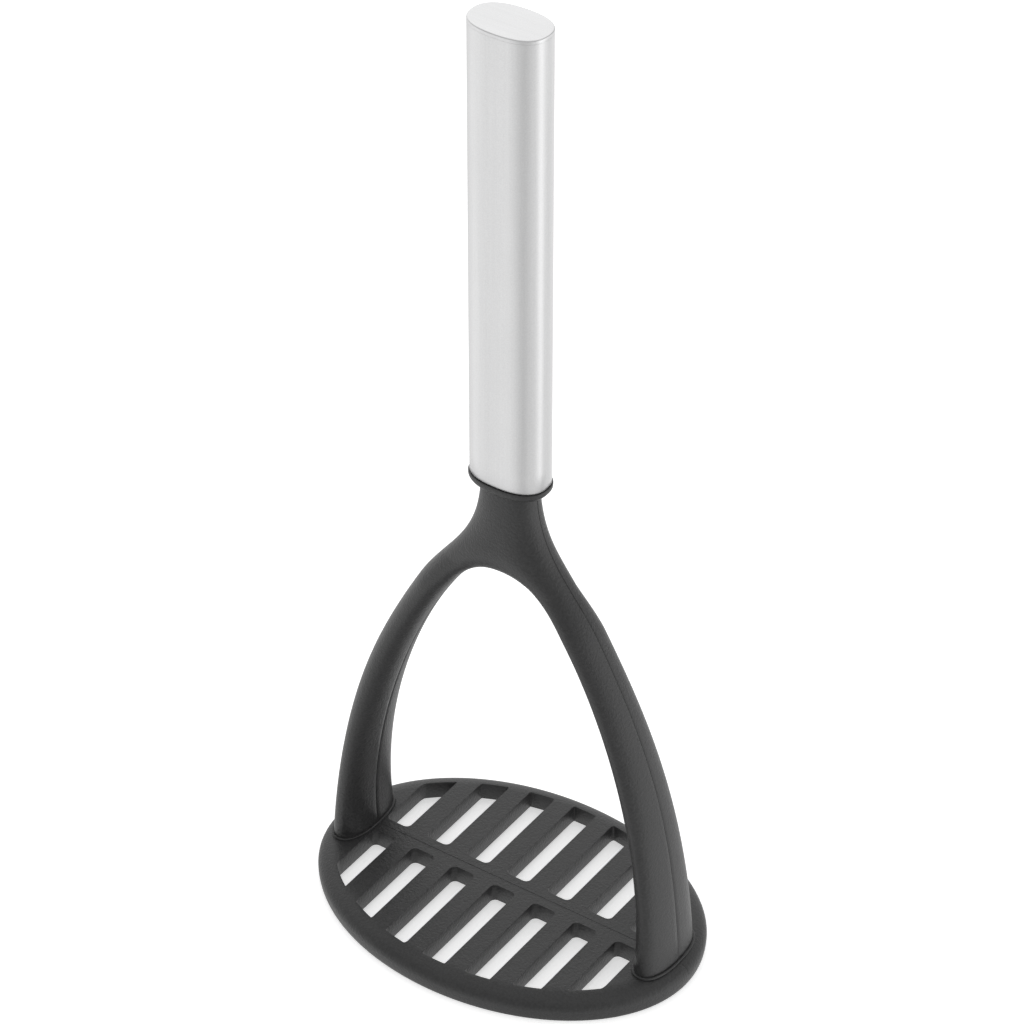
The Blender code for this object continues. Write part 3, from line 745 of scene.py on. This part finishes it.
def make_carrier():
    """The forked carrier, from its feet to the collar under the tube."""
    sizes = bpy.context.scene.masher_carrier
    sheet = carrier_sheet(sizes)
    rows = len(sheet) - 1
    work = bmesh.new()
    bmesh.ops.create_grid(work, x_segments=ACROSS_STEPS, y_segments=rows, size=1.0)
    for vert in work.verts:
        k = round((vert.co.x + 1) / 2 * ACROSS_STEPS)
        i = round((vert.co.y + 1) / 2 * rows)
        x, depth, z = sheet[i, k]
        vert.co = (x, -depth, z)
    for axis in "YX":
        bmesh.ops.mirror(work, geom=everything(work), axis=axis, merge_dist=MERGE)
    bmesh.ops.remove_doubles(work, verts=work.verts, dist=MERGE)
    open_edges = [edge for edge in work.edges if edge.is_boundary]
    neck = [edge for edge in open_edges if edge.verts[0].co.z > sizes.shoulder_z]
    low_edges = [edge for edge in open_edges if edge.verts[0].co.z < sizes.shoulder_z]
    feet = [[edge for edge in low_edges if edge.verts[0].co.x * side > 0] for side in (-1, 1)]
    for edges in feet:
        close_foot(work, edges, sizes)
    grow_collar(work, neck, sizes)
    cut_seam(work, sizes)
    material = nylon_finish("carrier_nylon_grain", CARRIER_GRAIN, 0.41)
    piece = finish_piece(work, "carrier_body", material, 40.0)
    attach(piece, "root")
    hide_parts("yoke")


def ring_centre(verts):
    """The mean place of some vertices."""
    total = Vector()
    for vert in verts:
        total += vert.co
    return total / len(verts)


def step_ring(work, edges, grow, z):
    """Extrudes a ring, widens it by a distance and sets its height."""
    extruded = bmesh.ops.extrude_edge_only(work, edges=edges)
    verts = moved_verts(extruded)
    centre = ring_centre(verts)
    half_x = max(abs(vert.co.x - centre.x) for vert in verts)
    half_y = max(abs(vert.co.y - centre.y) for vert in verts)
    for vert in verts:
        side = vert.co - centre
        vert.co = (
            centre.x + side.x * (half_x + grow) / half_x,
            centre.y + side.y * (half_y + grow) / half_y,
            z,
        )
    return moved_edges(extruded)


def close_foot(work, edges, sizes):
    """Undercut, rounded lip and flat end below one arm."""
    top = sizes.foot_start
    lip = sizes.lip_width
    bottom = PLATE_HIGH.z + FOOT_CLEARANCE
    rings = (
        (-0.25 * lip, top - 0.05 * MM),
        (0.5 * lip, top - 0.02 * MM),
        (0.45 * lip, top),
        (0.45 * lip, top - 0.04 * MM),
        (0.2 * lip, top - 0.14 * MM),
        (0.0, bottom),
        (-4.0 * lip, bottom),
    )
    for grow, z in rings:
        edges = step_ring(work, edges, grow, z)
    bmesh.ops.edgeloop_fill(work, edges=edges)


def grow_collar(work, edges, sizes):
    """Bowl, lip and spigot above the neck."""
    lip_x, lip_y = TUBE_HIGH.x + sizes.collar_proud, TUBE_HIGH.y + sizes.collar_proud
    low, high = sizes.neck_top + sizes.collar_step, sizes.collar_seat
    bowl_x = sizes.neck_half_width + sizes.collar_step
    bowl_y = sizes.neck_half_depth + sizes.collar_step
    levels = [(bowl_x, bowl_y, low)]
    steps = 2 * EDGE_STEPS
    for step in range(1, steps + 1):
        turn = step / steps * math.pi / 2
        share = math.sin(turn)
        x, y = bowl_x + (lip_x - bowl_x) * share, bowl_y + (lip_y - bowl_y) * share
        levels.append((x, y, low + (high - low) * (1 - math.cos(turn))))
    bend = 0.3 * LIP_ROUND
    inner_x, inner_y = lip_x - sizes.lip_wall, lip_y - sizes.lip_wall
    spigot_x, spigot_y = SEAL_HIGH.x - SPIGOT_INSET, SEAL_HIGH.y - SPIGOT_INSET
    levels += [
        (lip_x, lip_y, sizes.collar_top - LIP_ROUND),
        (lip_x - bend, lip_y - bend, sizes.collar_top - bend),
        (lip_x - LIP_ROUND, lip_y - LIP_ROUND, sizes.collar_top),
        (inner_x, inner_y, sizes.collar_top),
        (inner_x, inner_y, high),
        (spigot_x, spigot_y, high),
        (spigot_x, spigot_y, CARRIER_HIGH.z),
    ]
    before = (sizes.neck_half_width, sizes.neck_half_depth, ARM_SECTION_POWER)
    for half_x, half_y, z in levels:
        extruded = bmesh.ops.extrude_edge_only(work, edges=edges)
        for vert in moved_verts(extruded):
            c = math.copysign(min(1.0, abs(vert.co.x) / before[0]) ** (before[2] / 2), vert.co.x)
            s = math.copysign(min(1.0, abs(vert.co.y) / before[1]) ** (before[2] / 2), vert.co.y)
            vert.co = (*oval_point(math.atan2(s, c), half_x, half_y), z)
        edges = moved_edges(extruded)
        before = (half_x, half_y, OVAL_POWER)
    bmesh.ops.edgeloop_fill(work, edges=edges)


def cut_seam(work, sizes):
    """The fine parting line that the mould leaves round the middle of the carrier."""
    bmesh.ops.recalc_face_normals(work, faces=work.faces)
    low, high = sizes.foot_start + SEAM_END, sizes.neck_top - SEAM_END
    line = [
        edge
        for edge in work.edges
        if all(abs(vert.co.y) < ON_PLANE and low < vert.co.z < high for vert in edge.verts)
        and len(edge.link_faces) == 2
        and abs(sum(face.calc_center_median().y for face in edge.link_faces)) < ON_PLANE
    ]
    bmesh.ops.bevel(
        work, geom=line, offset=sizes.seam_width, offset_type="OFFSET", segments=2,
        profile=0.5, affect="EDGES", clamp_overlap=False, material=-1,
    )
    work.normal_update()
    groove = [
        vert
        for vert in work.verts
        if abs(vert.co.y) < ON_PLANE and low < vert.co.z < high and len(vert.link_faces) == 4
    ]
    moves = {vert: -sizes.seam_depth * vert.normal for vert in groove if abs(vert.normal.y) < 0.2}
    for vert, move in moves.items():
        vert.co += move


# ------------------------------------------------------------------ handle

SEAL_WALL = 1.3 * MM
SEAL_CROWN = 0.08 * MM

# Rounding on the tube's lower end, the cap's thickness, and its skirt's gap and wall
TUBE_EDGE = 0.12 * MM
CAP_PLATE = 1.0 * MM
SKIRT_FIT = 0.3 * MM
SKIRT_WALL = 0.8 * MM


def make_seal():
    """The thin band between the collar and the tube."""
    half_x, half_y = SEAL_HIGH.x, SEAL_HIGH.y
    inner_x, inner_y = half_x - SEAL_WALL, half_y - SEAL_WALL
    edge_z = SEAL_HIGH.z - SEAL_CROWN
    work = bmesh.new()
    wall = OvalWall(work, half_x, half_y, SEAL_LOW.z)
    wall.grow(half_x, half_y, edge_z)
    wall.grow(half_x - SEAL_CROWN, half_y - SEAL_CROWN, SEAL_HIGH.z)
    wall.grow(inner_x + SEAL_CROWN, inner_y + SEAL_CROWN, SEAL_HIGH.z)
    wall.grow(inner_x, inner_y, edge_z)
    wall.grow(inner_x, inner_y, SEAL_LOW.z)
    wall.close()
    piece = finish_piece(work, "seal_band", rubber_finish("seal_rubber_matt"))
    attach(piece, "root")
    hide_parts("seal_ring")


def make_tube():
    """The oval steel tube."""
    sizes = bpy.context.scene.masher_handle
    half_x, half_y = TUBE_HIGH.x, TUBE_HIGH.y
    top = CAP_HIGH.z - CAP_PLATE - sizes.joint_line
    bottom = TUBE_LOW.z - sizes.tube_sink
    bend = 0.3 * TUBE_EDGE
    work = bmesh.new()
    wall = OvalWall(work, half_x - TUBE_EDGE, half_y - TUBE_EDGE, bottom)
    wall.grow(half_x - bend, half_y - bend, bottom + bend)
    for z in np.linspace(bottom + TUBE_EDGE, top, TUBE_ROWS):
        wall.grow(half_x, half_y, float(z))
    inner_x, inner_y = half_x - sizes.tube_wall, half_y - sizes.tube_wall
    wall.grow(inner_x, inner_y, top)
    wall.grow(inner_x, inner_y, bottom)
    wall.close()
    steel = brushed_steel("tube_steel_brushed", TUBE_BRUSHING, SATIN, BRUSH_DEPTH)
    piece = finish_piece(work, "tube_shell", steel)
    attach(piece, "root")
    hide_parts("handle_tube")


def make_cap():
    """The steel cap and the skirt that holds it in the tube."""
    sizes = bpy.context.scene.masher_handle
    half_x, half_y = CAP_HIGH.x, CAP_HIGH.y
    top, low = CAP_HIGH.z, CAP_HIGH.z - CAP_PLATE
    skirt_x, skirt_y = half_x - sizes.tube_wall - SKIRT_FIT, half_y - sizes.tube_wall - SKIRT_FIT
    skirt_low = low - sizes.cap_skirt
    work = bmesh.new()
    wall = OvalWall(work, skirt_x - SKIRT_WALL, skirt_y - SKIRT_WALL, low)
    wall.grow(skirt_x - SKIRT_WALL, skirt_y - SKIRT_WALL, skirt_low)
    wall.grow(skirt_x, skirt_y, skirt_low)
    wall.grow(skirt_x, skirt_y, low)
    wall.grow(half_x, half_y, low)
    for step in range(EDGE_STEPS + 1):
        turn = step / EDGE_STEPS * math.pi / 2
        inset = sizes.cap_edge * (1 - math.cos(turn))
        z = top - sizes.cap_edge * (1 - math.sin(turn))
        wall.grow(half_x - inset, half_y - inset, z)
    wall.fill()
    steel = brushed_steel("cap_steel_brushed", CAP_BRUSHING, SATIN, BRUSH_DEPTH)
    piece = finish_piece(work, "cap_disc", steel, 40.0, UPWARD)
    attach(piece, "root")
    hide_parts("end_cap")


def finish_inside():
    """Finishes for the parts hidden inside the handle, whose shapes stay as they are."""
    finishes = {
        "tang_bar": (milled_steel("tang_steel_milled", BAR_MILLING), "tang_steel"),
        "handle_core": (core_finish("core_plastic_moulded"), "core_plastic"),
        "core_pin_lower": (milled_steel("lower_pin_steel_drawn", PIN_DRAWING), "pin_steel"),
        "core_pin_upper": (milled_steel("upper_pin_steel_drawn", PIN_DRAWING), "pin_steel"),
    }
    for name, (material, slot) in finishes.items():
        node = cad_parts[name]
        node.data.materials.clear()
        node.data.materials.append(material)


# ------------------------------------------------------------------ studio

# Soft lights round the studio: each ring's elevation in degrees, and the strengths of its
# lights, which are evenly spaced from the front round to the right
SOFT_RINGS = {
    90: (0.5,),
    58: (0.25, 0.25, 0.2, 0.2, 0.2, 0.2),
    26: (0.2, 0.2, 0.2, 0.2, 0.2, 0.59, 0.75, 0.2, 0.2),
    -6: (0.2, 0.2, 0.2, 1.18, 0.33, 0.2, 0.35, 0.2, 0.52, 0.2),
    -36: (0.37, 0.15, 0.65, 0.15, 0.15, 0.7, 0.15, 0.6, 0.15, 0.66),
    -66: (0.15, 0.15, 0.15, 0.15),
}
LIGHT_SPREAD = 44.0

FLOOR_RADIUS = 4.0
FLOOR_GLOW = 0.55

VIEW_AZIMUTH = 34.5583
VIEW_ELEVATION = 36.8202
VIEW_DISTANCE = 1116.0 * MM
VIEW_RIGHT = 0.33 * MM
VIEW_UP = 98.55 * MM
VIEW_ANCHOR = 2.0 * MM
VIEW_LENS = 153.6
VIEW_SENSOR = 36.0


def make_camera():
    """The camera, a little above the object and to its right."""
    back = direction(VIEW_AZIMUTH, VIEW_ELEVATION)
    right = direction(VIEW_AZIMUTH + 90.0, 0.0)
    up = back.cross(right)
    data = bpy.data.cameras.new("studio_camera")
    data.sensor_width = VIEW_SENSOR
    data.lens = VIEW_LENS
    data.clip_start, data.clip_end = 0.05, 20.0
    camera = bpy.data.objects.new("studio_camera", data)
    camera.rotation_mode = "QUATERNION"
    camera.rotation_quaternion = Matrix((right, up, back)).transposed().to_quaternion()
    anchor = Vector((0.0, 0.0, VIEW_ANCHOR))
    camera.location = anchor + VIEW_RIGHT * right + VIEW_UP * up + VIEW_DISTANCE * back
    bpy.context.scene.collection.objects.link(camera)
    bpy.context.scene.camera = camera


def make_floor():
    """A pale floor that glows a little and neither lights nor shades the object."""
    colours = bpy.context.scene.masher_colours
    work = bmesh.new()
    bmesh.ops.create_circle(work, segments=96, radius=FLOOR_RADIUS, cap_ends=True)
    material, mix = new_recipe("floor_paper")
    fibres = mix.noise(mix.place(), 600.0, 3.0)
    pale = tuple(0.985 * part for part in colours.floor)
    mix.surface(
        {
            "Base Color": mix.colours(fibres, tuple(colours.floor), pale),
            "Roughness": 0.9,
            "Specular IOR Level": 0.1,
            "Emission Color": (1.0, 1.0, 1.0, 1.0),
            "Emission Strength": FLOOR_GLOW,
        }
    )
    floor = finish_piece(work, "studio_floor", material)
    floor.visible_glossy = False
    floor.visible_diffuse = False
    floor.visible_shadow = False


def direction(azimuth, elevation):
    """A unit vector; azimuth 0 is in front and 90 to the right, in degrees."""
    a, e = math.radians(azimuth), math.radians(elevation)
    return Vector((math.sin(a) * math.cos(e), -math.cos(a) * math.cos(e), math.sin(e)))


def make_world():
    """Large soft lights on all sides, with nothing between them."""
    world = bpy.data.worlds.new("studio_air")
    bpy.context.scene.world = world
    world.use_nodes = True
    mix = Recipe(world.node_tree)
    ray = mix.node("ShaderNodeTexCoord", output="Generated")
    edge = math.cos(math.radians(LIGHT_SPREAD))
    core = math.cos(math.radians(LIGHT_SPREAD / 4))
    total = 0.0
    for elevation, strengths in SOFT_RINGS.items():
        for step, strength in enumerate(strengths):
            values = {0: ray, 1: direction(step * 360 / len(strengths), elevation)}
            facing = mix.node("ShaderNodeVectorMath", {"operation": "DOT_PRODUCT"}, values, "Value")
            values = {"Value": facing, "From Min": edge, "From Max": core, "To Max": strength}
            total = mix.node("ShaderNodeMapRange", {"interpolation_type": "SMOOTHSTEP"}, values) + total
    background = mix.node("ShaderNodeBackground", values={"Color": (1.0, 1.0, 1.0, 1.0), "Strength": total})
    mix.node("ShaderNodeOutputWorld", values={"Surface": background})


def build_stage():
    """Floor, lights and camera."""
    make_floor()
    make_world()
    make_camera()
    bpy.context.scene.view_settings.view_transform = "Standard"


# ------------------------------------------------------------------ operators and panel


class MASHER_OT_plate(bpy.types.Operator):
    """Make the slotted plate"""

    bl_idname = "masher.plate"
    bl_label = "Plate"

    def execute(self, context):
        make_plate()
        return {"FINISHED"}


class MASHER_OT_carrier(bpy.types.Operator):
    """Make the forked carrier"""

    bl_idname = "masher.carrier"
    bl_label = "Carrier"

    def execute(self, context):
        make_carrier()
        return {"FINISHED"}


class MASHER_OT_handle(bpy.types.Operator):
    """Make the seal, tube and cap, and finish the parts inside them"""

    bl_idname = "masher.handle"
    bl_label = "Handle"

    def execute(self, context):
        make_seal()
        make_tube()
        make_cap()
        finish_inside()
        return {"FINISHED"}


class MASHER_OT_stage(bpy.types.Operator):
    """Make the floor, lights and camera"""

    bl_idname = "masher.stage"
    bl_label = "Studio"

    def execute(self, context):
        build_stage()
        return {"FINISHED"}


class MASHER_PT_panel(bpy.types.Panel):
    """Lists the steps of the masher"""

    bl_idname = "MASHER_PT_panel"
    bl_label = "Masher"
    bl_space_type = "VIEW_3D"
    bl_region_type = "UI"
    bl_category = "Masher"

    def draw(self, context):
        for operator in OPERATORS:
            self.layout.operator(operator.bl_idname)
        for group, kind in GROUPS.items():
            box = self.layout.box()
            for name in kind.__annotations__:
                box.prop(getattr(context.scene, group), name)


OPERATORS = (MASHER_OT_plate, MASHER_OT_carrier, MASHER_OT_handle, MASHER_OT_stage)
GROUPS = {
    "masher_plate": PlateSizes,
    "masher_carrier": CarrierSizes,
    "masher_handle": HandleSizes,
    "masher_colours": FinishColours,
}


def register():
    for group, kind in GROUPS.items():
        bpy.utils.register_class(kind)
        setattr(bpy.types.Scene, group, bpy.props.PointerProperty(type=kind))
    for kind in (*OPERATORS, MASHER_PT_panel):
        bpy.utils.register_class(kind)


def unregister():
    for kind in (MASHER_PT_panel, *OPERATORS):
        bpy.utils.unregister_class(kind)
    for group, kind in GROUPS.items():
        delattr(bpy.types.Scene, group)
        bpy.utils.unregister_class(kind)


def main():
    register()
    bpy.ops.masher.plate()
    bpy.ops.masher.carrier()
    bpy.ops.masher.handle()
    bpy.ops.masher.stage()


if __name__ == "__main__":
    main()
